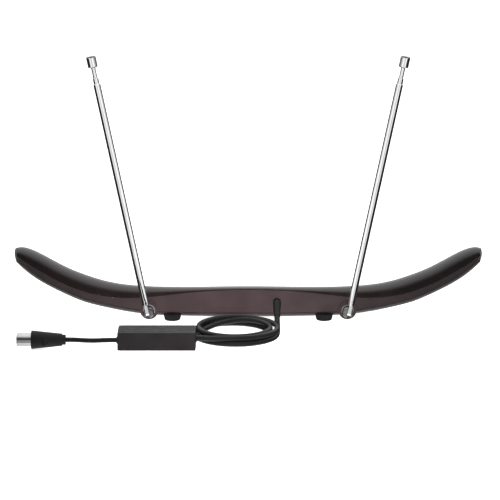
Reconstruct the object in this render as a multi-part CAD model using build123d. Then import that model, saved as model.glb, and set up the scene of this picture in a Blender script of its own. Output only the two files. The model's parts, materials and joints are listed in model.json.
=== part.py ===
from build123d import *

import math
import os

# Indoor television antenna: a crescent base on four rubber feet, two telescopic rods behind it,
# and a coaxial lead with an in-line amplifier box and an aerial plug.
# Millimetres. +X to the right as seen from behind, +Y towards the front, +Z up.

# ---------------------------------------------------------------- driving dimensions
HALF_WIDTH = 173.6          # centre to the tip of an arm
CENTRE_DEPTH = 50.0         # rear face to nose at the centre
TIP_DEPTH = 12.0            # the same at an arm's tip
WALL = 1.8                  # housing wall
FLOOR = 2.4                 # housing floor
EDGE_ROUND = 3.0            # rounding along the rear lower edge
TIP_FACET_ANGLE = 12.0      # the end facets look outwards and this much to the rear
NOSE_AT = 0.3               # height of the nose as a share of the section's height
TOP_HANDLE = 0.12           # how long the top stays level behind its highest line
NOSE_HANDLE = 0.35          # how upright the front is above the nose
SHOULDER_DEPTH = 0.8        # depth of the rounded shoulder as a share of its height

# The crescent: distance from the centre, then the heights of the lower edge, of the crease
# where the rear face meets the shoulder, and of the top.
STATIONS = [
    (0, 2.4, 23.6, 24.7),
    (30, 2.4, 22.6, 24.3),
    (58, 3.0, 19.8, 23.9),
    (80, 4.6, 17.5, 24.3),
    (98, 7.6, 17.5, 26.1),
    (114, 11.2, 19.9, 29.9),
    (130, 16.8, 25.2, 35.8),
    (145, 24.1, 32.3, 43.4),
    (157, 31.2, 39.3, 50.0),
    (166, 38.3, 45.3, 53.6),
    (171, 43.4, 48.8, 53.9),
    (175, 48.0, 50.2, 52.0),
]
CAVITY_END = 157            # the arms are solid beyond this station
COVER_END = 169.0           # the rear cover's half width
COVER_END_HEIGHTS = (44.2, 47.0)
COVER_THICK = 2.2
COVER_RECESS = 2.4
COVER_GAP = 0.12
COVER_LIP = 0.3             # housing left between the recess and the crease
LEDGE = 1.2                 # housing behind the cover's edge

PIVOT_X = 73.5
PIVOT_Z = 7.75
ROD_ANGLE = 11.6            # outwards from vertical, at rest
ROD_OFFSET = 6.0            # rod axis behind the rear face
ROD_ASIDE = 1.2             # rod axis outwards of the stud's centre
BARREL_RADIUS = 6.7
BARREL_PROUD = 1.2
BARREL_DEPTH = 13.5
BARREL_WEB = 4.5
NUT_ROOM_RADIUS = 5.4

HEAD_RADIUS = 4.0
EAR_END = 2.8
SLOT_WIDTH = 2.6
SHANK_RADIUS = 2.5
THREAD_RADIUS = 2.0
PIN_RADIUS = 1.0
WASHER_THICK = 0.5
FACE_GAP = 0.03             # axial gap beside a washer
RUNNING = 0.05              # radial running clearance

TONGUE_THICK = 2.4
TONGUE_RADIUS = 2.4
TUBE_START = 5.4            # lower end of the outer tube above the hinge pin
TUBE_END = 174.4
TUBE_RADIUS = 2.65
TUBE_BORE = 2.25
MIDDLE_START = 16.0
MIDDLE_END = 178.8
MIDDLE_RADIUS = 2.12
MIDDLE_BORE = 1.75
TIP_START = 20.0
TIP_END = 186.6
TIP_RADIUS = 1.62
CONTACT_LENGTH = 6.0
LIP_LENGTH = 1.0
CAP_RADIUS = 3.6
CAP_LENGTH = 8.4
CRIMP_AT = 9.0

FOOT_X = 56.3
FRONT_FOOT_X = 45.0
FOOT_FROM_REAR = 2.0        # the rear feet stand out behind the rear face
FRONT_FOOT_FROM_REAR = 29.0
FOOT_TOP_RADIUS = 6.85
FOOT_BOTTOM_RADIUS = 5.65
FOOT_HEIGHT = 5.2

FOOT_BOSS_RADIUS = 8.4
FOOT_BOSS_TOP = 8.6
COVER_SCREW_FROM_REAR = 5.8
COVER_SCREW_HEAD = 2.6      # head radius
COVER_SCREW_HEAD_TOP = 6.8
COVER_SCREW_RADIUS = 1.3
COVER_LUG_RADIUS = 3.2
COVER_LUG_TOP = 12.8
COVER_SCREW_END = 11.6

BALLAST_HALF = 30.0
BALLAST_WIDTH = 22.0
BALLAST_FROM_REAR = 25.0
BALLAST_SCREW_X = 22.0
BALLAST_BOTTOM = 4.9
BALLAST_TOP = 7.9
BALLAST_SCREW_RADIUS = 1.45

BOARD_SPAN = (-29.0, 13.0)
BOARD_HEIGHTS = (8.8, 20.3)
BOARD_FROM_REAR = 6.2
BOARD_THICK = 1.6
BOARD_SCREWS = ((-25.0, 14.5), (9.0, 14.5))
BOARD_SCREW_RADIUS = 1.1

ELEMENT_FROM_REAR = 9.0
ELEMENT_THICK = 0.5
ELEMENT_HALF_WIDTH = 2.6
ELEMENT_LINE = [
    (34, 16.6), (48, 16.0), (63, 16.0), (76, 18.4),
    (98, 18.8), (114, 20.6), (130, 26.5), (142, 33.0),
]
ELEMENT_SCREWS = ((41.0, 16.2), (62.6, 16.0))
ELEMENT_POST_RADIUS = 2.0

LEAD_RADIUS = 2.0
BOOT_X = 21.3
BOOT_Z = 14.0
BOOT_RADIUS = 2.9
BOOT_END_RADIUS = 2.3
BOOT_REACH = 3.0            # straight out of the rear face before it bends down
BOOT_LENGTH = 12.6
BOOT_DIP = 38.0             # degrees below level

COIL_X = -9.5
COIL_BEHIND = 46.0          # coil centre behind the rear face
COIL_INNER = 23.4
COIL_OUTER = 32.5
COIL_SHIFT = 0.5            # the outer strands lie a little towards the lead
COIL_HEIGHT = 8.5
COIL_STRAND = 30.0          # centre of an outermost strand
COIL_TOP_STRAND_Z = 6.3

BOX_X = -65.1
BOX_LENGTH = 55.6
BOX_WIDTH = 22.8
BOX_HEIGHT = 13.0
BOX_WALL = 1.4
BOX_SPLIT = 6.5
INLET_OFFSET = -0.7
OUTLET_OFFSET = -5.8
BUSH_RADIUS = 2.6
BUSH_PROUD = 0.8
SWITCH_X = -64.6
SWITCH_TRAVEL = 2.0
AMP_BOARD_Z = 4.3
AMP_BOARD_HALF = 20.5
AMP_BOARD_THICK = 1.2
NIB_HALF = 0.9
NIB_Z = 8.2
NIB_PROUD = 2.4

PLUG_LEAD_RADIUS = 1.75
PLUG_Z = 6.75
PLUG_TIP_X = -164.6
BARREL_LENGTH = 10.4
PLUG_BODY_LENGTH = 21.9
PLUG_COLLAR = 2.5
PLUG_COLLAR_RADIUS = 3.7
PLUG_FRONT_RADIUS = 6.7
PLUG_BACK_RADIUS = 4.45
PLUG_CONTACT_RADIUS = 4.75
PLUG_CONTACT_BORE = 4.05
PLUG_CONTACT_SEAT = 4.45    # radius of the contact inside the grip
PLUG_CONTACT_DEEP = 2.8     # how far it is set into the grip
PLUG_UNDERCUT = 0.1         # the full radius stops this short of the grip
PLUG_PIN_RADIUS = 1.2

# ---------------------------------------------------------------- places that follow
REAR_Y = -(CENTRE_DEPTH - ROD_OFFSET - CAP_RADIUS) / 2
ROD_Y = REAR_Y - ROD_OFFSET
COIL_Y = REAR_Y - COIL_BEHIND
INLET_Y = COIL_Y - COIL_STRAND
BOX_Y = INLET_Y - INLET_OFFSET
OUTLET_Y = BOX_Y + OUTLET_OFFSET
BOX_RIGHT = BOX_X + BOX_LENGTH / 2
BOX_LEFT = BOX_X - BOX_LENGTH / 2
SWITCH_MIDDLE = SWITCH_X - SWITCH_TRAVEL / 2
BOSS_FACE = ROD_OFFSET - BARREL_PROUD
HEAD_BASE = BOSS_FACE - 2 * FACE_GAP - WASHER_THICK
WEB_END = ROD_OFFSET + BARREL_WEB
SIDES = {"left": -1, "right": 1}

os.makedirs("parts", exist_ok=True)


# ---------------------------------------------------------------- helpers
def along_x(radius, x_from, x_to, y, z):
    """A cylinder lying along X."""
    middle = Pos((x_from + x_to) / 2, y, z)
    return middle * Rot(0, 90, 0) * Cylinder(radius, abs(x_to - x_from))


def along_y(radius, y_from, y_to, x=0.0, z=0.0):
    """A cylinder lying along Y."""
    middle = Pos(x, (y_from + y_to) / 2, z)
    return middle * Rot(90, 0, 0) * Cylinder(radius, abs(y_to - y_from))


def along_z(radius, z_from, z_to, x=0.0, y=0.0):
    """A cylinder standing along Z."""
    return Pos(x, y, (z_from + z_to) / 2) * Cylinder(radius, abs(z_to - z_from))


def block(x_span, y_span, z_span):
    """A box between two corners."""
    spans = (x_span, y_span, z_span)
    middle = [(low + high) / 2 for low, high in spans]
    size = [abs(high - low) for low, high in spans]
    return Pos(*middle) * Box(*size)


def together(solids):
    """Several separate solids as one node."""
    return Compound(children=list(solids))


def mirrored(points):
    """Points given for +X, continued to -X."""
    return [(-x, z) for x, z in reversed(points) if x > 0] + list(points)


def corner_radii(points):
    """The largest arc at each inner corner that its two runs allow."""
    radii = []
    for before, at, after in zip(points, points[1:], points[2:]):
        run_in = Vector(*at) - Vector(*before)
        run_out = Vector(*after) - Vector(*at)
        half_turn = math.radians(run_in.get_angle(run_out)) / 2
        radii.append(0.45 * min(run_in.length, run_out.length) / math.tan(half_turn))
    return radii


def round_tube(points, radius, name):
    """A tube of straight runs joined by tangent arcs."""
    radii = corner_radii(points)
    path = FilletPolyline(*points, radius=radii)
    start = Plane(origin=path @ 0, z_dir=path % 0)
    tube = sweep(start * Circle(radius), path=path)
    expected = math.pi * radius**2 * path.length
    print(name, "length", round(path.length, 1), "radii", [round(r, 1) for r in radii])
    print(name, "volume over section times length", round(tube.volume / expected, 4))
    return tube


def depth_at(x):
    """Front-to-rear depth of the base at a distance from its centre."""
    return TIP_DEPTH + (CENTRE_DEPTH - TIP_DEPTH) * (1 - (x / HALF_WIDTH) ** 2)


def edge_round(bottom, top):
    """Rounding of the lower rear edge, smaller towards the tips."""
    return min(EDGE_ROUND, 0.22 * (top - bottom))


# ---------------------------------------------------------------- base shells
def outer_section(x, bottom, crease, top):
    """One upright section of the base: rear face, shoulder, top, nose, underside."""
    depth = depth_at(x)
    rounding = edge_round(bottom, top)
    shoulder = top - crease
    apex = 2.5 + SHOULDER_DEPTH * shoulder
    nose = bottom + NOSE_AT * (top - bottom)
    under = min(0.6 * depth, 1.1 * (nose - bottom))

    def at(forward, z):
        return (x, REAR_Y + forward, z)

    return Wire(
        [
            Line(at(0, bottom + rounding), at(0, crease)),
            Bezier(
                at(0, crease),
                at(0.08 * shoulder, crease + 0.55 * shoulder),
                at(0.42 * apex, top),
                at(apex, top),
            ),
            Bezier(
                at(apex, top),
                at(apex + TOP_HANDLE * (depth - apex), top),
                at(depth, nose + NOSE_HANDLE * (top - nose)),
                at(depth, nose),
            ),
            Bezier(
                at(depth, nose),
                at(depth, bottom + 0.45 * (nose - bottom)),
                at(depth - 0.45 * under, bottom),
                at(depth - under, bottom),
            ),
            Line(at(depth - under, bottom), at(rounding, bottom)),
            Bezier(
                at(rounding, bottom),
                at(0.45 * rounding, bottom),
                at(0, bottom + 0.45 * rounding),
                at(0, bottom + rounding),
            ),
        ]
    )


def cavity_section(x, bottom, crease, top):
    """The hollow inside one section, open to the rear behind the cover."""
    depth = depth_at(x) - WALL
    mouth_top = min(crease - LEDGE, top - WALL - 0.4)
    mouth_bottom = bottom + EDGE_ROUND + LEDGE
    roof = top - WALL
    floor = bottom + FLOOR
    apex = 4.0 + SHOULDER_DEPTH * (top - crease)
    lip = 2.8
    nose = bottom + NOSE_AT * (top - bottom)
    under = min(0.6 * depth, 1.1 * (nose - floor))

    def at(forward, z):
        return (x, REAR_Y + forward, z)

    return Wire(
        [
            Line(at(-1, mouth_bottom), at(-1, mouth_top)),
            Line(at(-1, mouth_top), at(lip, mouth_top)),
            Bezier(
                at(lip, mouth_top),
                at(lip, mouth_top + 0.4 * (roof - mouth_top)),
                at(lip + 0.35 * (apex - lip), roof),
                at(apex, roof),
            ),
            Bezier(
                at(apex, roof),
                at(apex + TOP_HANDLE * (depth - apex), roof),
                at(depth, nose + NOSE_HANDLE * (roof - nose)),
                at(depth, nose),
            ),
            Bezier(
                at(depth, nose),
                at(depth, floor + 0.45 * (nose - floor)),
                at(depth - 0.45 * under, floor),
                at(depth - under, floor),
            ),
            Line(at(depth - under, floor), at(5.0, floor)),
            Line(at(5.0, floor), at(3.4, mouth_bottom)),
            Line(at(3.4, mouth_bottom), at(-1, mouth_bottom)),
        ]
    )


def both_ways(stations):
    """The stations from the left tip to the right tip."""
    return [(-x, *rest) for x, *rest in reversed(stations) if x > 0] + list(stations)


def cover_outline(gap):
    """The rear cover's face, between the crease and the lower rounding."""
    inner = [row for row in STATIONS if row[0] < COVER_END]
    low = [(x, b + edge_round(b, t) + COVER_LIP + gap) for x, b, c, t in inner]
    high = [(x, c - COVER_LIP - gap) for x, b, c, t in inner]
    end = COVER_END - gap
    low.append((end, COVER_END_HEIGHTS[0] + gap))
    high.append((end, COVER_END_HEIGHTS[1] - gap))
    upper = Spline([(x, REAR_Y, z) for x, z in mirrored(high)])
    lower = Spline([(x, REAR_Y, z) for x, z in mirrored(low)])
    left_end = Line(upper @ 0, lower @ 0)
    right_end = Line(upper @ 1, lower @ 1)
    return Face(Wire([upper, right_end, lower, left_end]))


def both_sides(x, from_rear):
    """The same place on the left and on the right: x, y."""
    return [(side * x, REAR_Y + from_rear) for side in SIDES.values()]


def front_housing():
    body = Solid.make_loft([outer_section(*row) for row in both_ways(STATIONS)])
    hollow = [row for row in STATIONS if row[0] <= CAVITY_END]
    body -= Solid.make_loft([cavity_section(*row) for row in both_ways(hollow)])
    feet = both_sides(FOOT_X, FOOT_FROM_REAR) + both_sides(FRONT_FOOT_X, FRONT_FOOT_FROM_REAR)
    behind = block((-FOOT_X - 20, FOOT_X + 20), (REAR_Y - 20, REAR_Y), (0, 20))
    for x, y in feet:
        body += along_z(FOOT_BOSS_RADIUS, FOOT_HEIGHT - 0.2, FOOT_BOSS_TOP, x, y) - behind
    recess = cover_outline(0.0)
    body -= extrude(recess, COVER_RECESS, dir=(0, 1, 0))
    body -= extrude(recess, 1.0, dir=(0, -1, 0))
    for x, y in feet:
        body -= along_z(FOOT_TOP_RADIUS + 0.1, -1.0, FOOT_HEIGHT, x, y)
    for x, y in both_sides(FOOT_X, COVER_SCREW_FROM_REAR):
        body -= along_z(COVER_SCREW_HEAD + 0.1, 4.0, COVER_SCREW_HEAD_TOP, x, y)
        body -= along_z(COVER_SCREW_RADIUS + 0.2, 5.0, FOOT_BOSS_TOP + 1, x, y)
    knife = Box(20, 120, 60)
    for side in SIDES.values():
        barrel_room = BARREL_RADIUS + 0.15
        room_end = REAR_Y + BARREL_DEPTH + 0.2
        body -= along_y(barrel_room, REAR_Y - 1, room_end, side * PIVOT_X, PIVOT_Z)
        screw_y = REAR_Y + BALLAST_FROM_REAR
        body -= along_z(BALLAST_SCREW_RADIUS, 3.3, 6.0, side * BALLAST_SCREW_X, screw_y)
        corner = Pos(side * HALF_WIDTH, REAR_Y + TIP_DEPTH, 50)
        body -= corner * Rot(0, 0, -side * TIP_FACET_ANGLE) * Pos(side * 10, 0, 0) * knife
    return body


def rear_cover():
    body = extrude(cover_outline(COVER_GAP), COVER_THICK, dir=(0, 1, 0))
    inside = REAR_Y + COVER_THICK
    for side in SIDES.values():
        x = side * PIVOT_X
        body += along_y(
            BARREL_RADIUS, REAR_Y - BARREL_PROUD, REAR_Y + BARREL_DEPTH, x, PIVOT_Z
        )
        web = REAR_Y + BARREL_WEB
        body -= along_y(NUT_ROOM_RADIUS, web, REAR_Y + BARREL_DEPTH + 1, x, PIVOT_Z)
        body -= along_y(SHANK_RADIUS + RUNNING, REAR_Y - 5, web + 1, x, PIVOT_Z)
        lug_x, lug_y = side * FOOT_X, REAR_Y + COVER_SCREW_FROM_REAR
        body += along_z(COVER_LUG_RADIUS, FOOT_BOSS_TOP + 0.05, COVER_LUG_TOP, lug_x, lug_y)
        body += block((lug_x - 1, lug_x + 1), (inside - 0.2, lug_y), (9.0, COVER_LUG_TOP))
        body -= along_z(COVER_SCREW_RADIUS, 0, COVER_LUG_TOP - 1.0, lug_x, lug_y)
        for screw_x, screw_z in ELEMENT_SCREWS:
            x, end = side * screw_x, REAR_Y + ELEMENT_FROM_REAR
            body += along_y(ELEMENT_POST_RADIUS, inside - 0.2, end, x, screw_z)
            body -= along_y(BOARD_SCREW_RADIUS, inside + 1, end + 1, x, screw_z)
    for screw_x, screw_z in BOARD_SCREWS:
        end = REAR_Y + BOARD_FROM_REAR
        body += along_y(2.6, inside - 0.2, end, screw_x, screw_z)
        body -= along_y(BOARD_SCREW_RADIUS, inside + 1, end + 1, screw_x, screw_z)
    body -= along_y(BOOT_RADIUS + 0.05, REAR_Y - 1, inside + 1, BOOT_X, BOOT_Z)
    return body


def foot(x, y):
    puck = Cone(FOOT_BOTTOM_RADIUS, FOOT_TOP_RADIUS, FOOT_HEIGHT)
    puck = fillet(puck.edges().group_by(Axis.Z)[0], 0.9)
    puck = fillet(puck.edges().group_by(Axis.Z)[-1], 0.4)
    return Pos(x, y, FOOT_HEIGHT / 2) * puck


def screw_up(head_radius, shank_radius, z_head, z_shank, z_end, x, y):
    """A screw driven upwards, its head below."""
    head = along_z(head_radius, z_head, z_shank, x, y)
    recess = block((x - 1.4, x + 1.4), (y - 0.3, y + 0.3), (z_head - 1, z_head + 0.6))
    return head + along_z(shank_radius, z_shank, z_end, x, y) - recess


def cover_screws():
    places = both_sides(FOOT_X, COVER_SCREW_FROM_REAR)
    head = FOOT_HEIGHT + 0.05
    return together(
        screw_up(
            COVER_SCREW_HEAD, COVER_SCREW_RADIUS, head, COVER_SCREW_HEAD_TOP, COVER_SCREW_END, x, y
        )
        for x, y in places
    )


def ballast_plate():
    middle = REAR_Y + BALLAST_FROM_REAR
    span = (middle - BALLAST_WIDTH / 2, middle + BALLAST_WIDTH / 2)
    plate = block((-BALLAST_HALF, BALLAST_HALF), span, (BALLAST_BOTTOM, BALLAST_TOP))
    plate = fillet(plate.edges().filter_by(Axis.Z), 2.0)
    for side in SIDES.values():
        plate -= along_z(BALLAST_SCREW_RADIUS, 0, 20, side * BALLAST_SCREW_X, middle)
    return plate


def ballast_screws():
    y = REAR_Y + BALLAST_FROM_REAR
    screws = []
    for side in SIDES.values():
        x = side * BALLAST_SCREW_X
        head = along_z(2.8, BALLAST_TOP, BALLAST_TOP + 1.6, x, y)
        slot = block((x - 1.6, x + 1.6), (y - 0.3, y + 0.3), (BALLAST_TOP + 1.0, 12))
        screws.append(head + along_z(BALLAST_SCREW_RADIUS, 3.4, BALLAST_TOP, x, y) - slot)
    return together(screws)


def screw_inwards(x, z, head_y, end_y):
    """A small pan-head screw lying along Y, driven towards the rear cover."""
    head = along_y(2.1, head_y, head_y + 1.3, x, z)
    slot = block((x - 1.3, x + 1.3), (head_y + 0.8, head_y + 2), (z - 0.25, z + 0.25))
    return head + along_y(BOARD_SCREW_RADIUS, end_y, head_y, x, z) - slot


def circuit_board():
    back = REAR_Y + BOARD_FROM_REAR
    board = block(BOARD_SPAN, (back, back + BOARD_THICK), BOARD_HEIGHTS)
    for x, z in BOARD_SCREWS:
        board -= along_y(BOARD_SCREW_RADIUS, back - 1, back + BOARD_THICK + 1, x, z)
    return board


def balun_core():
    """A two-hole ferrite bead with its winding through the holes."""
    back = REAR_Y + BOARD_FROM_REAR + BOARD_THICK
    core = block((-13.0, -4.0), (back, back + 6.5), (10.0, 18.5))
    core = fillet(core.edges().filter_by(Axis.X), 1.5)
    for z in (12.3, 16.2):
        core -= along_x(1.1, -20, 0, back + 3.2, z)
    return core


def uhf_element(side):
    """A springy strip that follows the arm."""
    y = REAR_Y + ELEMENT_FROM_REAR
    line = Spline([(side * x, y, z) for x, z in ELEMENT_LINE])
    steps = [i / 8 for i in range(9)]
    across = [(line % t).cross(Vector(0, 1, 0)).normalized() for t in steps]
    upper = Spline([line @ t + a * ELEMENT_HALF_WIDTH for t, a in zip(steps, across)])
    lower = Spline([line @ t - a * ELEMENT_HALF_WIDTH for t, a in zip(steps, across)])
    ends = [Line(upper @ t, lower @ t) for t in (0, 1)]
    strip = extrude(Face(Wire([upper, ends[1], lower, ends[0]])), ELEMENT_THICK, dir=(0, 1, 0))
    for x, z in ELEMENT_SCREWS:
        strip -= along_y(BOARD_SCREW_RADIUS, y - 1, y + 2, side * x, z)
    return strip


def inner_screws():
    """The small screws of the board and of the two strips."""
    board_face = REAR_Y + BOARD_FROM_REAR + BOARD_THICK
    strip_face = REAR_Y + ELEMENT_FROM_REAR + ELEMENT_THICK
    end = REAR_Y + COVER_THICK + 1.2
    screws = [screw_inwards(x, z, board_face, end) for x, z in BOARD_SCREWS]
    for side in SIDES.values():
        screws += [screw_inwards(side * x, z, strip_face, end) for x, z in ELEMENT_SCREWS]
    return together(screws)


def solder_tag(side):
    """A ring under the stud's nut, with a tail that leads out of the barrel."""
    x = side * PIVOT_X
    start = REAR_Y + BARREL_WEB + 0.02
    tag = along_y(4.2, start, start + 0.5, x, PIVOT_Z)
    tag += block((x - 1.2, x + 1.2), (start, REAR_Y + 15.0), (PIVOT_Z + 4.4, PIVOT_Z + 4.9))
    tag += block((x - 1.2, x + 1.2), (start, start + 0.5), (PIVOT_Z + 3.0, PIVOT_Z + 4.9))
    return tag - along_y(THREAD_RADIUS + 0.15, start - 1, start + 2, x, PIVOT_Z)


def feed_wire(side):
    """The wire from a rod's solder tag to the board."""
    board_x = BOARD_SPAN[0] if side < 0 else BOARD_SPAN[1]
    front_of_board = REAR_Y + BOARD_FROM_REAR + BOARD_THICK
    tag_z = PIVOT_Z + 4.9
    points = [
        (side * PIVOT_X, REAR_Y + 14.2, tag_z + 0.7),
        (side * (PIVOT_X - 9), REAR_Y + 15.5, tag_z + 1.5),
        (side * 48.0, REAR_Y + 15.0, 12.5),
        (side * 33.0, REAR_Y + 13.5, 11.5),
        (board_x - side * 4.0, front_of_board + 2.5, 11.2),
        (board_x - side * 5.5, front_of_board + 0.4, 10.4),
    ]
    return round_tube(points, 0.7, "feed_wire")


def cord_boot():
    """Rubber strain relief: out of the rear face, then down towards the table."""
    elbow = Vector(BOOT_X, REAR_Y - BOOT_REACH, BOOT_Z)
    dip = math.radians(BOOT_DIP)
    down = Vector(0, -math.cos(dip), -math.sin(dip))
    neck = along_y(BOOT_RADIUS, elbow.Y, REAR_Y + COVER_THICK + 3.0, BOOT_X, BOOT_Z)
    taper = Cone(BOOT_RADIUS, BOOT_END_RADIUS, BOOT_LENGTH, align=(Align.CENTER, Align.CENTER, Align.MIN))
    return neck + Pos(*elbow) * Sphere(BOOT_RADIUS) + Plane(elbow, z_dir=down) * taper


def boot_end():
    dip = math.radians(BOOT_DIP)
    return (
        BOOT_X,
        REAR_Y - BOOT_REACH - BOOT_LENGTH * math.cos(dip),
        BOOT_Z - BOOT_LENGTH * math.sin(dip),
    )


def boot_retainer():
    """The spring ring that keeps the boot in the rear cover."""
    start = REAR_Y + COVER_THICK + 0.02
    ring = along_y(4.6, start, start + 1.0, BOOT_X, BOOT_Z)
    gap = block((BOOT_X - 1.2, BOOT_X + 1.2), (start - 1, start + 2), (BOOT_Z + 1, BOOT_Z + 8))
    return ring - along_y(BOOT_RADIUS, start - 1, start + 2, BOOT_X, BOOT_Z) - gap


def coax_tail():
    """The lead inside the base, from the boot to the board."""
    start = REAR_Y + COVER_THICK + 3.0
    front_of_board = REAR_Y + BOARD_FROM_REAR + BOARD_THICK
    points = [
        (BOOT_X, start, BOOT_Z),
        (BOOT_X, start + 4.0, BOOT_Z),
        (BOOT_X - 6.3, front_of_board + 5.5, BOOT_Z),
        (BOOT_X - 12.8, front_of_board + 4.5, BOOT_Z + 2.5),
        (BOOT_X - 17.3, front_of_board + 1.6, BOOT_Z + 2.0),
    ]
    return round_tube(points, 1.4, "coax_tail")


# ---------------------------------------------------------------- swivels and rods
# Built upright around the hinge pin (pin along X, rod along Z), then turned to the rod's angle.
def placed(side, piece):
    """From the pin's own frame to the place on one side of the base."""
    return Pos(side * PIVOT_X, ROD_Y, PIVOT_Z) * Rot(0, side * ROD_ANGLE, 0) * piece


def placed_rod(side, piece):
    """The same for the rod's pieces, which stand beside the stud's centre."""
    return placed(side, Pos(side * ROD_ASIDE, 0, 0) * piece)


def swivel_stud(side):
    """A round head, split by a slot for the rod's tongue, on a threaded shank."""
    slot_x = side * ROD_ASIDE
    head = along_y(HEAD_RADIUS, -EAR_END, HEAD_BASE)
    head = fillet(head.edges().group_by(Axis.Y)[0], 1.2)
    head -= block((slot_x - SLOT_WIDTH / 2, slot_x + SLOT_WIDTH / 2), (-10, 3.0), (-10, 10))
    head -= along_x(PIN_RADIUS, -10, 10, 0, 0)
    shank = along_y(SHANK_RADIUS, HEAD_BASE - 0.2, WEB_END)
    return head + shank + along_y(THREAD_RADIUS, WEB_END - 0.2, WEB_END + 5.4)


def ring_y(outer, inner, y_from, y_to):
    return along_y(outer, y_from, y_to) - along_y(inner, y_from - 1, y_to + 1)


def friction_washer():
    start = BOSS_FACE - FACE_GAP - WASHER_THICK
    return ring_y(HEAD_RADIUS + 0.4, SHANK_RADIUS, start, start + WASHER_THICK)


def spring_washer():
    return ring_y(4.0, THREAD_RADIUS, WEB_END + 0.56, WEB_END + 1.3)


def stud_nut():
    start = WEB_END + 1.32
    hexagon = Plane((0, start, 0), z_dir=(0, 1, 0)) * RegularPolygon(4.3, 6)
    return extrude(hexagon, 2.8) - along_y(THREAD_RADIUS, start - 1, start + 4)


def hinge_pin():
    half = HEAD_RADIUS - 0.3
    pin = along_x(PIN_RADIUS, -half, half, 0, 0)
    return fillet(pin.edges(), 0.25)


def rod_tang():
    """Flat tongue on the hinge pin with a plug that is crimped into the outer tube."""
    half = TONGUE_THICK / 2
    tongue = along_x(TONGUE_RADIUS, -half, half, 0, 0)
    tongue += block((-half, half), (-TONGUE_RADIUS, TONGUE_RADIUS), (0, TUBE_START))
    tongue &= along_z(TUBE_RADIUS, -5, TUBE_START)
    tongue += along_z(TUBE_BORE, TUBE_START, TUBE_START + 8.6)
    return tongue - along_x(PIN_RADIUS + RUNNING, -3, 3, 0, 0)


def outer_tube():
    tube = along_z(TUBE_RADIUS, TUBE_START, TUBE_END)
    tube = chamfer(tube.edges().filter_by(GeomType.CIRCLE), 0.2)
    tube -= along_z(TUBE_BORE, 0, TUBE_END - LIP_LENGTH)
    tube -= along_z(MIDDLE_RADIUS + RUNNING, TUBE_END - 2, TUBE_END + 1)
    dimple = Pos(0, -TUBE_RADIUS - 0.5, CRIMP_AT) * Sphere(0.85)
    return tube - dimple


def middle_tube():
    tube = along_z(MIDDLE_RADIUS, MIDDLE_START, MIDDLE_END)
    tube = chamfer(tube.edges().filter_by(GeomType.CIRCLE), 0.15)
    tube -= along_z(MIDDLE_BORE, 0, MIDDLE_END - LIP_LENGTH)
    tube -= along_z(TIP_RADIUS + RUNNING, MIDDLE_END - 2, MIDDLE_END + 1)
    neck_end = MIDDLE_START + CONTACT_LENGTH
    neck = along_z(3, MIDDLE_START - 1, neck_end) - along_z(1.95, MIDDLE_START - 2, neck_end + 1)
    return tube - neck


def sliding_contact(outer, inner, start):
    """A split spring sleeve on the lower end of an inner section."""
    sleeve = along_z(outer, start, start + CONTACT_LENGTH)
    sleeve -= along_z(inner, start - 1, start + CONTACT_LENGTH + 1)
    return sleeve - block((-0.3, 0.3), (0, 5), (start - 1, start + CONTACT_LENGTH + 1))


def tip_rod():
    rod = along_z(TIP_RADIUS, TIP_START, TIP_END + CAP_LENGTH - 2.0)
    neck_end = TIP_START + CONTACT_LENGTH
    neck = along_z(3, TIP_START - 1, neck_end) - along_z(1.45, TIP_START - 2, neck_end + 1)
    return rod - neck


def rod_cap():
    cap = along_z(CAP_RADIUS, TIP_END, TIP_END + CAP_LENGTH)
    cap = fillet(cap.edges().filter_by(GeomType.CIRCLE), 0.9)
    return cap - along_z(TIP_RADIUS, TIP_END - 1, TIP_END + CAP_LENGTH - 2.0)


# ---------------------------------------------------------------- lead, amplifier, plug
def lead_to_coil():
    x, y, z = boot_end()
    floor = LEAD_RADIUS + 0.1
    strand_x = COIL_X + COIL_SHIFT + COIL_STRAND
    points = [
        (x, y, z),
        (x, y - 4.6, z - 3.6),
        (x + 0.3, y - 11.0, floor),
        (strand_x + 0.5, y - 20.0, floor),
        (strand_x, COIL_Y + 2.0, floor),
    ]
    return round_tube(points, LEAD_RADIUS, "lead_to_coil")


def lead_coil():
    outer = along_z(COIL_OUTER, 0.0, COIL_HEIGHT, COIL_X + COIL_SHIFT, COIL_Y)
    return outer - along_z(COIL_INNER, -1.0, COIL_HEIGHT + 1, COIL_X, COIL_Y)


def lead_to_box():
    start = COIL_X + COIL_SHIFT - 9.0
    end = BOX_RIGHT + BUSH_PROUD
    points = [
        (start, INLET_Y, COIL_TOP_STRAND_Z),
        (start - 4.6, INLET_Y, COIL_TOP_STRAND_Z),
        (start - 9.4, INLET_Y - 0.2, COIL_TOP_STRAND_Z - 0.1),
        (end + 4.5, INLET_Y, BOX_SPLIT),
        (end, INLET_Y, BOX_SPLIT),
    ]
    return round_tube(points, LEAD_RADIUS, "lead_to_box")


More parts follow.
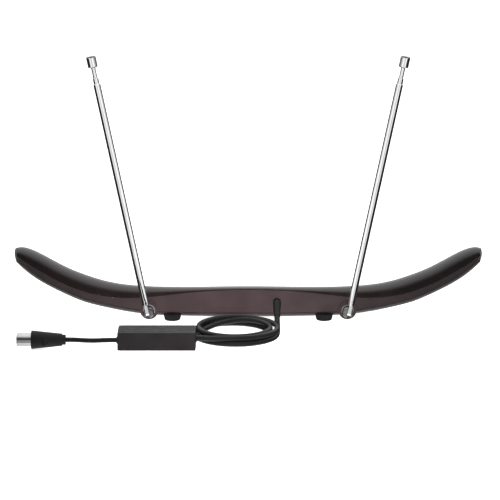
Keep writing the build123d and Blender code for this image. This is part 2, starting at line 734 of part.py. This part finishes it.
def box_shell(upper):
    """One half of the amplifier's case."""
    case = block(
        (BOX_LEFT, BOX_RIGHT),
        (BOX_Y - BOX_WIDTH / 2, BOX_Y + BOX_WIDTH / 2),
        (0, BOX_HEIGHT),
    )
    case = fillet(case.edges().filter_by(Axis.Z), 1.3)
    case = fillet(case.edges().group_by(Axis.Z)[0] + case.edges().group_by(Axis.Z)[-1], 0.5)
    hollow = block(
        (BOX_LEFT + BOX_WALL, BOX_RIGHT - BOX_WALL),
        (BOX_Y - BOX_WIDTH / 2 + BOX_WALL, BOX_Y + BOX_WIDTH / 2 - BOX_WALL),
        (BOX_WALL, BOX_HEIGHT - BOX_WALL),
    )
    case -= hollow
    wide = (BOX_LEFT - 5, BOX_RIGHT + 5)
    deep = (BOX_Y - BOX_WIDTH, BOX_Y + BOX_WIDTH)
    kept = (BOX_SPLIT, BOX_HEIGHT + 5) if upper else (-5, BOX_SPLIT)
    case &= block(wide, deep, kept)
    for x, y in box_screw_places():
        if upper:
            case += along_z(2.5, BOX_SPLIT, BOX_HEIGHT - 1.0, x, y)
            case -= along_z(BOARD_SCREW_RADIUS, BOX_SPLIT - 1, 9.5, x, y)
        else:
            case += along_z(2.5, 0.6, BOX_SPLIT, x, y)
            case -= along_z(2.2, -1, 1.8, x, y)
            case -= along_z(BOARD_SCREW_RADIUS, 0, BOX_SPLIT + 1, x, y)
    case -= along_x(BUSH_RADIUS, BOX_RIGHT - 5, BOX_RIGHT + 5, INLET_Y, BOX_SPLIT)
    case -= along_x(BUSH_RADIUS, BOX_LEFT - 5, BOX_LEFT + 5, OUTLET_Y, BOX_SPLIT)
    if upper:
        case -= switch_slot(5.0)
    else:
        for x, y in amp_posts():
            case += along_z(1.8, BOX_WALL - 0.2, AMP_BOARD_Z, x, y)
    return case


def box_screw_places():
    return [(BOX_X + side * 23.8, BOX_Y + 7.2) for side in SIDES.values()]


def amp_posts():
    return [(BOX_X + side * 15.0, BOX_Y - 5.5) for side in SIDES.values()]


def switch_slot(reach):
    """The slot in the far wall that the switch's nib slides in."""
    half = NIB_HALF + SWITCH_TRAVEL / 2 + 0.1
    far = BOX_Y + BOX_WIDTH / 2
    return block(
        (SWITCH_MIDDLE - half, SWITCH_MIDDLE + half),
        (far - reach, far + 1),
        (NIB_Z - NIB_HALF - 0.1, NIB_Z + NIB_HALF + 0.1),
    )


def box_screws():
    return together(
        screw_up(2.1, BOARD_SCREW_RADIUS, 0.6, 1.8, 9.4, x, y) for x, y in box_screw_places()
    )


def box_bush(face_x, y, outwards):
    """The moulded grommet that a lead passes through."""
    tip = face_x + outwards * BUSH_PROUD
    bush = along_x(BUSH_RADIUS, tip, face_x - outwards * BOX_WALL, y, BOX_SPLIT)
    return bush + along_x(BUSH_RADIUS - 0.6, face_x, face_x - outwards * 3.6, y, BOX_SPLIT)


def amp_board():
    board = block(
        (BOX_X - AMP_BOARD_HALF, BOX_X + AMP_BOARD_HALF),
        (BOX_Y - 8.5, BOX_Y + 9.5),
        (AMP_BOARD_Z, AMP_BOARD_Z + AMP_BOARD_THICK),
    )
    return board


def shield_can():
    top = AMP_BOARD_Z + AMP_BOARD_THICK
    can = block((BOX_X + 4, BOX_X + 19), (BOX_Y - 7.5, BOX_Y + 4), (top, top + 4.2))
    return fillet(can.edges().group_by(Axis.Z)[-1], 0.4)


def switch_body():
    top = AMP_BOARD_Z + AMP_BOARD_THICK
    far = BOX_Y + BOX_WIDTH / 2 - BOX_WALL
    case = block((SWITCH_MIDDLE - 4.2, SWITCH_MIDDLE + 4.2), (far - 4.4, far), (top, top + 4.8))
    room = block(
        (SWITCH_MIDDLE - 2.5, SWITCH_MIDDLE + 2.5),
        (far - 3.4, far - 1.0),
        (NIB_Z - 1.6, NIB_Z + 1.6),
    )
    return case - room - switch_slot(BOX_WALL + 2.0)


def switch_slider():
    far = BOX_Y + BOX_WIDTH / 2
    inner = far - BOX_WALL
    foot_block = block(
        (SWITCH_X - 1.4, SWITCH_X + 1.4), (inner - 3.2, inner - 1.1), (NIB_Z - 1.4, NIB_Z + 1.4)
    )
    return foot_block + block(
        (SWITCH_X - NIB_HALF, SWITCH_X + NIB_HALF),
        (inner - 1.2, far + NIB_PROUD),
        (NIB_Z - NIB_HALF, NIB_Z + NIB_HALF),
    )


def plug_lead():
    start = BOX_LEFT - BUSH_PROUD
    end = PLUG_TIP_X + BARREL_LENGTH + PLUG_BODY_LENGTH + PLUG_COLLAR
    points = [
        (start, OUTLET_Y, BOX_SPLIT),
        (start - 6.0, OUTLET_Y, BOX_SPLIT),
        (start - 15.0, OUTLET_Y - 0.2, BOX_SPLIT - 1.1),
        (end + 14.0, OUTLET_Y + 0.2, PLUG_Z - 1.2),
        (end + 6.0, OUTLET_Y, PLUG_Z),
        (end, OUTLET_Y, PLUG_Z),
    ]
    return round_tube(points, PLUG_LEAD_RADIUS, "plug_lead")


def plug_body():
    """The plug's tapered moulded grip, with a collar round the lead."""
    x0 = PLUG_TIP_X + BARREL_LENGTH
    x1 = x0 + PLUG_BODY_LENGTH
    x2 = x1 + PLUG_COLLAR
    outline = Polyline(
        (x0, 0),
        (x0, PLUG_FRONT_RADIUS),
        (x1, PLUG_BACK_RADIUS),
        (x1, PLUG_COLLAR_RADIUS),
        (x2, PLUG_COLLAR_RADIUS),
        (x2, 0),
        (x0, 0),
    )
    body = revolve(make_face(outline), Axis.X)
    body = fillet(body.edges().filter_by(GeomType.CIRCLE).group_by(Axis.X)[0], 0.5)
    body = Pos(0, OUTLET_Y, PLUG_Z) * body
    for side in SIDES.values():
        grip_y = OUTLET_Y + side * 6.6
        body -= Pos(x0 + 14.0, grip_y, PLUG_Z) * Rot(0, 0, side * 8) * Box(12, 2.2, 7.0)
    body -= along_x(PLUG_CONTACT_SEAT, x0 - 1, x0 + PLUG_CONTACT_DEEP, OUTLET_Y, PLUG_Z)
    return body - along_x(PLUG_PIN_RADIUS, x0 + 2.0, x0 + 6.0, OUTLET_Y, PLUG_Z)


def plug_contact():
    """The plug's outer contact, a plain metal barrel."""
    face = PLUG_TIP_X + BARREL_LENGTH - PLUG_UNDERCUT
    end = PLUG_TIP_X + BARREL_LENGTH + PLUG_CONTACT_DEEP
    barrel = along_x(PLUG_CONTACT_RADIUS, PLUG_TIP_X, face, OUTLET_Y, PLUG_Z)
    barrel = fillet(barrel.edges().group_by(Axis.X)[0], 0.3)
    barrel += along_x(PLUG_CONTACT_SEAT, face - 0.2, end, OUTLET_Y, PLUG_Z)
    return barrel - along_x(PLUG_CONTACT_BORE, PLUG_TIP_X - 1, end + 1, OUTLET_Y, PLUG_Z)


def plug_insulator():
    x0 = PLUG_TIP_X + BARREL_LENGTH
    disc = along_x(PLUG_CONTACT_BORE, x0 - 1.5, x0 + PLUG_CONTACT_DEEP, OUTLET_Y, PLUG_Z)
    return disc - along_x(PLUG_PIN_RADIUS, x0 - 3, x0 + 4, OUTLET_Y, PLUG_Z)


def plug_pin():
    end = PLUG_TIP_X + BARREL_LENGTH + 6.0
    pin = along_x(PLUG_PIN_RADIUS, PLUG_TIP_X + 0.6, end, OUTLET_Y, PLUG_Z)
    return fillet(pin.edges().group_by(Axis.X)[0], 0.5)


# ---------------------------------------------------------------- all the pieces
rear_feet = both_sides(FOOT_X, FOOT_FROM_REAR)
front_feet = both_sides(FRONT_FOOT_X, FRONT_FOOT_FROM_REAR)
pieces = {
    "front_housing": front_housing(),
    "rear_cover": rear_cover(),
    "rear_feet": together(foot(x, y) for x, y in rear_feet),
    "front_feet": together(foot(x, y) for x, y in front_feet),
    "cover_screws": cover_screws(),
    "ballast_plate": ballast_plate(),
    "ballast_screws": ballast_screws(),
    "circuit_board": circuit_board(),
    "balun_core": balun_core(),
    "inner_screws": inner_screws(),
    "cord_boot": cord_boot(),
    "boot_retainer": boot_retainer(),
    "coax_tail": coax_tail(),
    "lead_to_coil": lead_to_coil(),
    "lead_coil": lead_coil(),
    "lead_to_box": lead_to_box(),
    "amp_case_top": box_shell(True),
    "amp_case_base": box_shell(False),
    "amp_case_screws": box_screws(),
    "amp_inlet_bush": box_bush(BOX_RIGHT, INLET_Y, 1),
    "amp_outlet_bush": box_bush(BOX_LEFT, OUTLET_Y, -1),
    "amp_board": amp_board(),
    "amp_shield_can": shield_can(),
    "gain_switch_body": switch_body(),
    "gain_switch_slider": switch_slider(),
    "plug_lead": plug_lead(),
    "plug_body": plug_body(),
    "plug_outer_contact": plug_contact(),
    "plug_insulator": plug_insulator(),
    "plug_centre_pin": plug_pin(),
}
for name, side in SIDES.items():
    pieces[f"uhf_element_{name}"] = uhf_element(side)
    pieces[f"solder_tag_{name}"] = solder_tag(side)
    pieces[f"feed_wire_{name}"] = feed_wire(side)
    pieces[f"swivel_stud_{name}"] = placed(side, swivel_stud(side))
    pieces[f"friction_washer_{name}"] = placed(side, friction_washer())
    pieces[f"spring_washer_{name}"] = placed(side, spring_washer())
    pieces[f"stud_nut_{name}"] = placed(side, stud_nut())
    pieces[f"hinge_pin_{name}"] = placed(side, hinge_pin())
    pieces[f"rod_tang_{name}"] = placed_rod(side, rod_tang())
    pieces[f"outer_tube_{name}"] = placed_rod(side, outer_tube())
    pieces[f"middle_tube_{name}"] = placed_rod(side, middle_tube())
    pieces[f"middle_contact_{name}"] = placed_rod(
        side, sliding_contact(TUBE_BORE - 0.04, 1.95, MIDDLE_START)
    )
    pieces[f"tip_rod_{name}"] = placed_rod(side, tip_rod())
    pieces[f"tip_contact_{name}"] = placed_rod(
        side, sliding_contact(MIDDLE_BORE - 0.04, 1.45, TIP_START)
    )
    pieces[f"rod_cap_{name}"] = placed_rod(side, rod_cap())

for node, piece in pieces.items():
    export_step(piece, f"parts/{node}.step")
print(len(pieces), "nodes")
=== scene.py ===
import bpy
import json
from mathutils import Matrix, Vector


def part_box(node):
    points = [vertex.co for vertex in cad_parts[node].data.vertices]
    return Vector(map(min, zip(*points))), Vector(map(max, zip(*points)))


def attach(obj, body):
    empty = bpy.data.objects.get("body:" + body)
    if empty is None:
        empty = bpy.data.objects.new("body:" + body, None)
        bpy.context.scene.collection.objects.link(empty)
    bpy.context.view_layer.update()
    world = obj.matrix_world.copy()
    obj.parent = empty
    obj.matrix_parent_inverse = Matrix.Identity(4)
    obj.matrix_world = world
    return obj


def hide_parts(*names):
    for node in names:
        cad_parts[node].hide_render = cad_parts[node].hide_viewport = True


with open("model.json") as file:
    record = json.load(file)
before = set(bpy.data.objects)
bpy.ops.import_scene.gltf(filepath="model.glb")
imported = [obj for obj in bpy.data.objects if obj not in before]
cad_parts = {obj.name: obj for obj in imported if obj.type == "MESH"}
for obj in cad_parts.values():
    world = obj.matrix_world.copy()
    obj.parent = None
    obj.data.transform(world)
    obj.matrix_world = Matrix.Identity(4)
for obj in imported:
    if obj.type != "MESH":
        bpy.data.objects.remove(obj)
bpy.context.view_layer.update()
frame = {"nodes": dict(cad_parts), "record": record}

import json
import math

import bpy
from mathutils import Vector

# An indoor television antenna seen from behind. Metres, in the CAD frame:
# +X right, +Y to the plain front, +Z up, the table at Z = 0.

nodes = frame["nodes"]
scene = bpy.context.scene
MM = 0.001
REAR_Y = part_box("front_housing")[0].y


# ---------------------------------------------------------------- camera
VIEW_DISTANCE = 1.9
VIEW_RISE = math.radians(13)
VIEW_WIDTH = 0.3688         # what the picture spans at the rear face
AIM_X = 0.0013
FEET_BELOW_MIDDLE = 0.0521  # the feet's soles under the picture's middle
SENSOR = 36.0
CLIP_END = 20
TO_CAMERA = Vector((0, -math.cos(VIEW_RISE), math.sin(VIEW_RISE)))
FACING_THE_REAR = (math.pi / 2 - VIEW_RISE, 0, 0)


def make_camera():
    target = Vector((AIM_X, REAR_Y, FEET_BELOW_MIDDLE / math.cos(VIEW_RISE)))
    data = bpy.data.cameras.new("camera")
    data.sensor_width = SENSOR
    data.lens = SENSOR * VIEW_DISTANCE / VIEW_WIDTH
    data.clip_end = CLIP_END
    camera = bpy.data.objects.new("camera", data)
    camera.location = target + TO_CAMERA * VIEW_DISTANCE
    camera.rotation_euler = FACING_THE_REAR
    scene.collection.objects.link(camera)
    scene.camera = camera


make_camera()

# ---------------------------------------------------------------- the leads' routes
LEAD = 4.0 * MM
PLUG_LEAD = 3.5 * MM
FLOOR_Z = 2.1 * MM          # the lead's centre where it lies on the table
TOP_Z = 6.3 * MM            # and where it lies on another strand
BOX_Z = 6.5 * MM            # the height of the case's two bushes
PLUG_Z = 6.75 * MM          # the height of the plug's axis

BOOT_X, BOOT_Z = 21.3 * MM, 14.0 * MM
BOOT_REACH, BOOT_LENGTH = 3.0 * MM, 12.6 * MM
BOOT_DIP = math.radians(38)
BOOT_END = Vector((
    BOOT_X,
    REAR_Y - BOOT_REACH - BOOT_LENGTH * math.cos(BOOT_DIP),
    BOOT_Z - BOOT_LENGTH * math.sin(BOOT_DIP),
))

COIL_X, COIL_Y = -9.5 * MM, REAR_Y - 46.0 * MM
COIL_SHIFT = 0.5 * MM       # how far the outer strands' centre lies to the right
OUTER_STRAND, INNER_STRAND = 30.0 * MM, 25.4 * MM
TURNS = 3.25
TURN_POINTS = 24            # control points in each turn
GOES_INWARDS = (0.68, 0.98)     # from and to, in turns
GOES_UP = (1.56, 1.84)
GOES_OUTWARDS = (2.42, 2.70)

INLET_Y = COIL_Y - OUTER_STRAND
OUTLET_Y = INLET_Y - 5.1 * MM


def smooth_step(value, low, high):
    share = min(max((value - low) / (high - low), 0), 1)
    return share * share * (3 - 2 * share)


def coil_point(turn):
    """The floor layer winds inwards, the upper layer outwards; seen from above it runs clockwise."""
    inwards = smooth_step(turn, *GOES_INWARDS)
    outwards = smooth_step(turn, *GOES_OUTWARDS)
    radius = OUTER_STRAND + (INNER_STRAND - OUTER_STRAND) * (inwards - outwards)
    height = FLOOR_Z + (TOP_Z - FLOOR_Z) * smooth_step(turn, *GOES_UP)
    angle = -2 * math.pi * turn
    control = radius / math.cos(math.pi / TURN_POINTS)
    centre = COIL_X + COIL_SHIFT * (1 - inwards + outwards)
    return Vector((centre + control * math.cos(angle), COIL_Y + control * math.sin(angle), height))


def main_lead_points():
    """Out of the boot, down to the table, round the coil, and off its upper layer into the case."""
    x, y, z = BOOT_END
    strand_x = COIL_X + COIL_SHIFT + OUTER_STRAND
    points = [
        BOOT_END,
        Vector((x, y - 4.6 * MM, z - 3.6 * MM)),
        Vector((x + 0.3 * MM, y - 11.0 * MM, FLOOR_Z)),
        Vector((strand_x + 0.5 * MM, y - 20.0 * MM, FLOOR_Z)),
    ]
    count = round(TURNS * TURN_POINTS)
    points += [coil_point(i / TURN_POINTS) for i in range(count)]
    start = COIL_X + COIL_SHIFT - 9.0 * MM
    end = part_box("amp_inlet_bush")[1].x
    points += [
        Vector((start + 5.0 * MM, INLET_Y, TOP_Z)),
        Vector((start - 4.6 * MM, INLET_Y, TOP_Z)),
        Vector((start - 9.4 * MM, INLET_Y - 0.2 * MM, TOP_Z - 0.1 * MM)),
        Vector((end + 4.5 * MM, INLET_Y, BOX_Z)),
        Vector((end, INLET_Y, BOX_Z)),
    ]
    return points


def plug_lead_points():
    """From the case to the plug, sagging a little in between."""
    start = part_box("amp_outlet_bush")[0].x
    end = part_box("plug_body")[1].x
    return [
        Vector((start, OUTLET_Y, BOX_Z)),
        Vector((start - 6.0 * MM, OUTLET_Y, BOX_Z)),
        Vector((start - 15.0 * MM, OUTLET_Y - 0.1 * MM, BOX_Z - 0.4 * MM)),
        Vector((end + 14.0 * MM, OUTLET_Y + 0.1 * MM, PLUG_Z - 0.6 * MM)),
        Vector((end + 6.0 * MM, OUTLET_Y, PLUG_Z)),
        Vector((end, OUTLET_Y, PLUG_Z)),
    ]


def cord_curve(name, points, diameter):
    """A round cord along one spline. Its thickness is in the points' radii, which keeps its box true."""
    data = bpy.data.curves.new(name, "CURVE")
    data.dimensions = "3D"
    data.bevel_depth = 1.0
    data.bevel_resolution = 6
    data.resolution_u = 6
    data.use_fill_caps = True
    spline = data.splines.new("NURBS")
    spline.points.add(len(points) - 1)
    for control, point in zip(spline.points, points):
        control.co = (*point, 1)
        control.radius = diameter / 2
    spline.order_u = 3
    spline.use_endpoint_u = True
    curve = bpy.data.objects.new(name, data)
    scene.collection.objects.link(curve)
    return curve


# ---------------------------------------------------------------- the leads
main_points = main_lead_points()
main_lead = cord_curve("main_lead", main_points, LEAD)
plug_points = plug_lead_points()
plug_lead = cord_curve("aerial_lead", plug_points, PLUG_LEAD)
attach(main_lead, "base")
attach(plug_lead, "base")
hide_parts("lead_to_coil", "lead_coil", "lead_to_box")
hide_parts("plug_lead")


# ---------------------------------------------------------------- node sums
class NodeSums:
    """Sums and smooth steps, put together from nodes in the tree of a material or the world."""

    def __init__(self, tree):
        self.tree = tree

    def put(self, socket, value):
        """A socket takes a plain number, or what another node gives."""
        if isinstance(value, (int, float)):
            socket.default_value = value
        else:
            self.tree.links.new(value, socket)

    def math(self, operation, *values):
        node = self.tree.nodes.new("ShaderNodeMath")
        node.operation = operation
        for socket, value in zip(node.inputs, values):
            self.put(socket, value)
        return node.outputs[0]

    def plus(self, value, other):
        return self.math("ADD", value, other)

    def times(self, value, factor):
        return self.math("MULTIPLY", value, factor)

    def ramp(self, value, span, start, end):
        """From start to end, smoothly, while the value goes through the span."""
        low, high = span
        node = self.tree.nodes.new("ShaderNodeMapRange")
        node.interpolation_type = "SMOOTHSTEP"
        node.inputs["From Min"].default_value = low
        node.inputs["From Max"].default_value = high
        self.put(node.inputs["To Min"], start)
        self.put(node.inputs["To Max"], end)
        self.put(node.inputs["Value"], value)
        return node.outputs[0]


# ---------------------------------------------------------------- materials
# The noises' scales count waves per metre: 60 gives patches of about 17 mm.
MOTTLING = 60.0
UNEVEN_GLOSS = 220.0
TARNISH = 90.0
DRAWING_LINES = 2600.0
COLOUR_SPREAD = (0.35, 0.65)    # the noise values between which a look changes
GLOSS_SPREAD = (0.3, 0.7)
GRAIN_STRENGTH = 0.5
LINE_STRENGTH, LINE_DEPTH = 0.25, 0.01 * MM

EVEN = (1, 1, 1)
LENGTHWISE = (1, 1, 0.02)       # stretches a noise into lines along Z
ALONG_THE_PLUG = (0.02, 1, 1)   # the same along X


def new_material(name, colour, roughness, metallic=0.0, specular=0.5):
    material = bpy.data.materials.new(name)
    material.use_nodes = True
    shader = material.node_tree.nodes["Principled BSDF"]
    shader.inputs["Base Color"].default_value = (*colour, 1)
    shader.inputs["Roughness"].default_value = roughness
    shader.inputs["Metallic"].default_value = metallic
    shader.inputs["Specular IOR Level"].default_value = specular
    return material


def noise(material, scale, detail=3.0, stretch=EVEN):
    """A noise over the object's own coordinates, in metres."""
    tree = material.node_tree
    place = tree.nodes.new("ShaderNodeTexCoord")
    mapping = tree.nodes.new("ShaderNodeMapping")
    mapping.inputs["Scale"].default_value = stretch
    texture = tree.nodes.new("ShaderNodeTexNoise")
    texture.inputs["Scale"].default_value = scale
    texture.inputs["Detail"].default_value = detail
    tree.links.new(place.outputs["Object"], mapping.inputs["Vector"])
    tree.links.new(mapping.outputs["Vector"], texture.inputs["Vector"])
    return texture.outputs["Fac"]


def vary_colour(material, pattern, dark, light):
    tree = material.node_tree
    ramp = tree.nodes.new("ShaderNodeValToRGB")
    for stop, position, colour in zip(ramp.color_ramp.elements, COLOUR_SPREAD, (dark, light)):
        stop.position = position
        stop.color = (*colour, 1)
    tree.links.new(pattern, ramp.inputs["Fac"])
    tree.links.new(ramp.outputs["Color"], tree.nodes["Principled BSDF"].inputs["Base Color"])


def vary_roughness(material, pattern, low, high):
    tree = material.node_tree
    spread = tree.nodes.new("ShaderNodeMapRange")
    spread.inputs["From Min"].default_value = GLOSS_SPREAD[0]
    spread.inputs["From Max"].default_value = GLOSS_SPREAD[1]
    spread.inputs["To Min"].default_value = low
    spread.inputs["To Max"].default_value = high
    tree.links.new(pattern, spread.inputs["Value"])
    tree.links.new(spread.outputs["Result"], tree.nodes["Principled BSDF"].inputs["Roughness"])


def add_bump(material, pattern, strength, depth):
    tree = material.node_tree
    bump = tree.nodes.new("ShaderNodeBump")
    bump.inputs["Strength"].default_value = strength
    bump.inputs["Distance"].default_value = depth
    tree.links.new(pattern, bump.inputs["Height"])
    tree.links.new(bump.outputs["Normal"], tree.nodes["Principled BSDF"].inputs["Normal"])


def moulding(name, dark, light, rough, grain, depth, specular=0.5):
    """Injection-moulded plastic: slight mottling, uneven gloss and a fine grain of that depth."""
    material = new_material(name, light, rough[0], specular=specular)
    vary_colour(material, noise(material, MOTTLING), dark, light)
    vary_roughness(material, noise(material, UNEVEN_GLOSS, detail=5.0), *rough)
    add_bump(material, noise(material, grain, detail=2.0), GRAIN_STRENGTH, depth)
    return material


def bright_metal(name, dark, light, rough, stretch=EVEN):
    """Plated or drawn metal with faint drawing lines along the stretch."""
    material = new_material(name, light, rough[0], metallic=1.0)
    vary_colour(material, noise(material, TARNISH), dark, light)
    vary_roughness(material, noise(material, DRAWING_LINES, stretch=stretch), *rough)
    lines = noise(material, DRAWING_LINES, detail=2.0, stretch=stretch)
    add_bump(material, lines, LINE_STRENGTH, LINE_DEPTH)
    return material


def chrome(name):
    return bright_metal(name, (0.84, 0.84, 0.86), (0.92, 0.92, 0.93), (0.05, 0.10), LENGTHWISE)


def grey(level):
    return (level, level, level)


# One look for each material slot in the record.
looks = {
    "shell": moulding(
        "gloss_brown", (0.005, 0.0026, 0.0028), (0.008, 0.0043, 0.0046),
        rough=(0.16, 0.24), grain=900.0, depth=0.02 * MM, specular=0.66,
    ),
    "cover": moulding(
        "satin_brown", (0.0186, 0.0124, 0.0132), (0.0243, 0.0161, 0.0172),
        rough=(0.38, 0.48), grain=2600.0, depth=0.05 * MM, specular=0.25,
    ),
    "rubber": moulding(
        "foot_rubber", grey(0.003), grey(0.005),
        rough=(0.45, 0.6), grain=1800.0, depth=0.08 * MM, specular=0.17,
    ),
    "chrome": chrome("chrome_plate"),
    "steel": bright_metal("zinc_plate", (0.42, 0.43, 0.45), (0.56, 0.57, 0.60), (0.28, 0.4)),
    "brass": bright_metal("drawn_brass", (0.62, 0.43, 0.17), (0.78, 0.58, 0.27), (0.22, 0.34)),
    "nylon": moulding(
        "natural_nylon", (0.10, 0.098, 0.09), (0.14, 0.137, 0.13),
        rough=(0.4, 0.5), grain=1500.0, depth=0.04 * MM,
    ),
    "board": moulding(
        "board_laminate", (0.014, 0.075, 0.026), (0.022, 0.11, 0.04),
        rough=(0.3, 0.4), grain=1200.0, depth=0.03 * MM,
    ),
    "ferrite": moulding(
        "sintered_ferrite", (0.018, 0.017, 0.017), (0.034, 0.032, 0.032),
        rough=(0.5, 0.7), grain=2400.0, depth=0.08 * MM,
    ),
    "cord": moulding(
        "cable_jacket", grey(0.003), grey(0.005),
        rough=(0.32, 0.42), grain=1600.0, depth=0.03 * MM, specular=0.17,
    ),
    "box": moulding(
        "matt_black", (0.006, 0.005, 0.0053), (0.008, 0.0068, 0.0072),
        rough=(0.55, 0.65), grain=3200.0, depth=0.06 * MM, specular=0.2,
    ),
    "switch": moulding(
        "switch_black", grey(0.005), grey(0.008),
        rough=(0.35, 0.45), grain=2000.0, depth=0.03 * MM, specular=0.3,
    ),
}

# Three kinds of plated pieces differ from the rest of the chrome slot.
barrel_look = bright_metal(
    "nickel_plate", (0.36, 0.36, 0.365), (0.44, 0.44, 0.445), (0.10, 0.18), ALONG_THE_PLUG
)
stud_look = bright_metal("dull_nickel", (0.20, 0.20, 0.205), (0.30, 0.30, 0.305), (0.16, 0.26))
# The caps' chrome carries a painted dark reflection on its rims.
cap_look = chrome("cap_chrome_painted_rims")

ROD_LEAN = math.radians(11.6)
RIM_REFLECTION_WIDTH = 0.7 * MM              # the width of the dark reflection painted on a cap's rims
# the colour of the dark reflection painted on the caps' rims
PAINTED_RIM_REFLECTION = grey(0.05)


def along_rod(point):
    """How far up a leaning rod a point is; the two rods mirror each other."""
    return abs(point.x) * math.sin(ROD_LEAN) + point.z * math.cos(ROD_LEAN)


def paint_rim_reflections(material, cap):
    """Paints a dark reflection onto the cap's rims: its base colour turns dark there."""
    tree = material.node_tree
    sums = NodeSums(tree)
    place = tree.nodes.new("ShaderNodeTexCoord")
    split = tree.nodes.new("ShaderNodeSeparateXYZ")
    tree.links.new(place.outputs["Object"], split.inputs[0])
    x, _, z = split.outputs
    aside = sums.times(sums.math("ABSOLUTE", x), math.sin(ROD_LEAN))
    along = sums.plus(aside, sums.times(z, math.cos(ROD_LEAN)))
    heights = [along_rod(vertex.co) for vertex in cap.data.vertices]
    middle = (min(heights) + max(heights)) / 2
    half = (max(heights) - min(heights)) / 2
    from_middle = sums.math("ABSOLUTE", sums.math("SUBTRACT", along, middle))
    # where the painted dark reflection lies: 0 on the polish, 1 at the rims
    painted_rim_mask = sums.ramp(from_middle, (half - RIM_REFLECTION_WIDTH, half - RIM_REFLECTION_WIDTH / 2), 0.0, 1.0)

    base_colour = tree.nodes["Principled BSDF"].inputs["Base Color"]
    polish = base_colour.links[0].from_socket
    mix = tree.nodes.new("ShaderNodeMix")
    mix.data_type = "RGBA"
    first, second, mixed = mix.inputs[6], mix.inputs[7], mix.outputs[2]  # its colour sockets
    tree.links.new(painted_rim_mask, mix.inputs["Factor"])
    tree.links.new(polish, first)
    second.default_value = (*PAINTED_RIM_REFLECTION, 1)
    tree.links.new(mixed, base_colour)


def dress_nodes():
    for row in frame["record"]["subparts"]:
        mesh = nodes[row["node"]].data
        mesh.materials.clear()
        mesh.materials.append(looks[row["material_slot"]])
    nodes["plug_outer_contact"].data.materials[0] = barrel_look
    for side in ("left", "right"):
        nodes["rod_cap_" + side].data.materials[0] = cap_look
        nodes["swivel_stud_" + side].data.materials[0] = stud_look


# paints a dark reflection on both caps' rims
paint_rim_reflections(cap_look, nodes["rod_cap_left"])
dress_nodes()
for lead in (main_lead, plug_lead):
    lead.data.materials.append(looks["cord"])


# ---------------------------------------------------------------- stage and light
FLOOR_SIZE = 30
FLOOR_WHITE, FLOOR_ROUGHNESS = 0.9, 0.9
FLOOR_GLOW = 0.75           # so that shadows on it stay faint

# The studio's brightness in each direction. A span is where one brightness gives way to the next.
# It is measured by how far the direction points up or down, or, for the near side, the far panel
# and the sides between them, by how far it points away from the camera's side, from -1 to 1.
HORIZON_SPAN = (-0.03, 0.10)
OVERHEAD_SPAN = (0.1, 1.05)
OVERHEAD_EDGE, OVERHEAD = 0.12, 1.7
OVERHEAD_LEAN = 0.6         # how much the overhead light leans to the far side
NEAR_SPAN = (-0.985, -0.93)
BEHIND_CAMERA, NEAR_SIDE = 0.7, 1.15
PANEL_SPAN = (0.93, 0.975)
FAR_SIDE, FAR_PANEL = 0.02, 0.8
SIDE_SPAN = (-0.25, 0.05)
SIDE_SLOPE = 2.3            # the lower the direction, the sooner the near side ends
UNDER_SPAN = (0.45, 0.75)
UNDERNEATH = 1.5
BACKGROUND = 1.0            # what the camera itself sees

LIGHT_POWER = 500.0
LIGHT_CONE = math.radians(8.5)
LIGHT_SIZE = 0.1
LIGHT_DISTANCE = 1.3
LIGHT_AIM = Vector((-0.015, REAR_Y, 0.012))


def make_floor():
    bpy.ops.mesh.primitive_plane_add(size=FLOOR_SIZE)
    floor = bpy.context.object
    floor.name = "floor"
    paper = new_material("floor", grey(FLOOR_WHITE), FLOOR_ROUGHNESS)
    shader = paper.node_tree.nodes["Principled BSDF"]
    shader.inputs["Emission Color"].default_value = (1.0, 1.0, 1.0, 1)
    shader.inputs["Emission Strength"].default_value = FLOOR_GLOW
    floor.data.materials.append(paper)
    floor.visible_glossy = False


def studio_brightness(sums, x, y, z):
    """A wide overhead light, a bright near side, a dark far side with one panel, and light below."""
    flat = sums.plus(sums.times(x, x), sums.times(y, y))
    away = sums.math("DIVIDE", y, sums.math("SQRT", flat))
    down = sums.times(z, -1.0)

    overhead = sums.plus(z, sums.times(y, OVERHEAD_LEAN))
    above = sums.ramp(overhead, OVERHEAD_SPAN, OVERHEAD_EDGE, OVERHEAD)
    near = sums.ramp(away, NEAR_SPAN, BEHIND_CAMERA, NEAR_SIDE)
    far = sums.ramp(away, PANEL_SPAN, FAR_SIDE, FAR_PANEL)
    away_or_down = sums.plus(away, sums.times(down, SIDE_SLOPE))
    level = sums.ramp(away_or_down, SIDE_SPAN, near, far)
    below = sums.ramp(down, UNDER_SPAN, level, UNDERNEATH)
    return sums.ramp(z, HORIZON_SPAN, below, above)


def make_world():
    world = bpy.data.worlds.new("world")
    scene.world = world
    world.use_nodes = True
    tree = world.node_tree
    sums = NodeSums(tree)
    place = tree.nodes.new("ShaderNodeTexCoord")
    split = tree.nodes.new("ShaderNodeSeparateXYZ")
    tree.links.new(place.outputs["Generated"], split.inputs[0])
    light = studio_brightness(sums, *split.outputs)
    path = tree.nodes.new("ShaderNodeLightPath")
    seen = sums.ramp(path.outputs["Is Camera Ray"], (0.0, 1.0), light, BACKGROUND)
    background = tree.nodes["Background"]
    background.inputs["Color"].default_value = (1.0, 1.0, 1.0, 1)
    tree.links.new(seen, background.inputs["Strength"])


def make_centre_light():
    """A soft light from the camera's direction, on the rear cover a little left of its middle."""
    data = bpy.data.lights.new("centre_light", "SPOT")
    data.energy = LIGHT_POWER
    data.spot_size = LIGHT_CONE
    data.spot_blend = 1.0
    data.shadow_soft_size = LIGHT_SIZE
    light = bpy.data.objects.new("centre_light", data)
    light.location = LIGHT_AIM + TO_CAMERA * LIGHT_DISTANCE
    light.rotation_euler = FACING_THE_REAR
    light.visible_glossy = False
    scene.collection.objects.link(light)


make_floor()
make_world()
make_centre_light()
scene.view_settings.view_transform = "Standard"
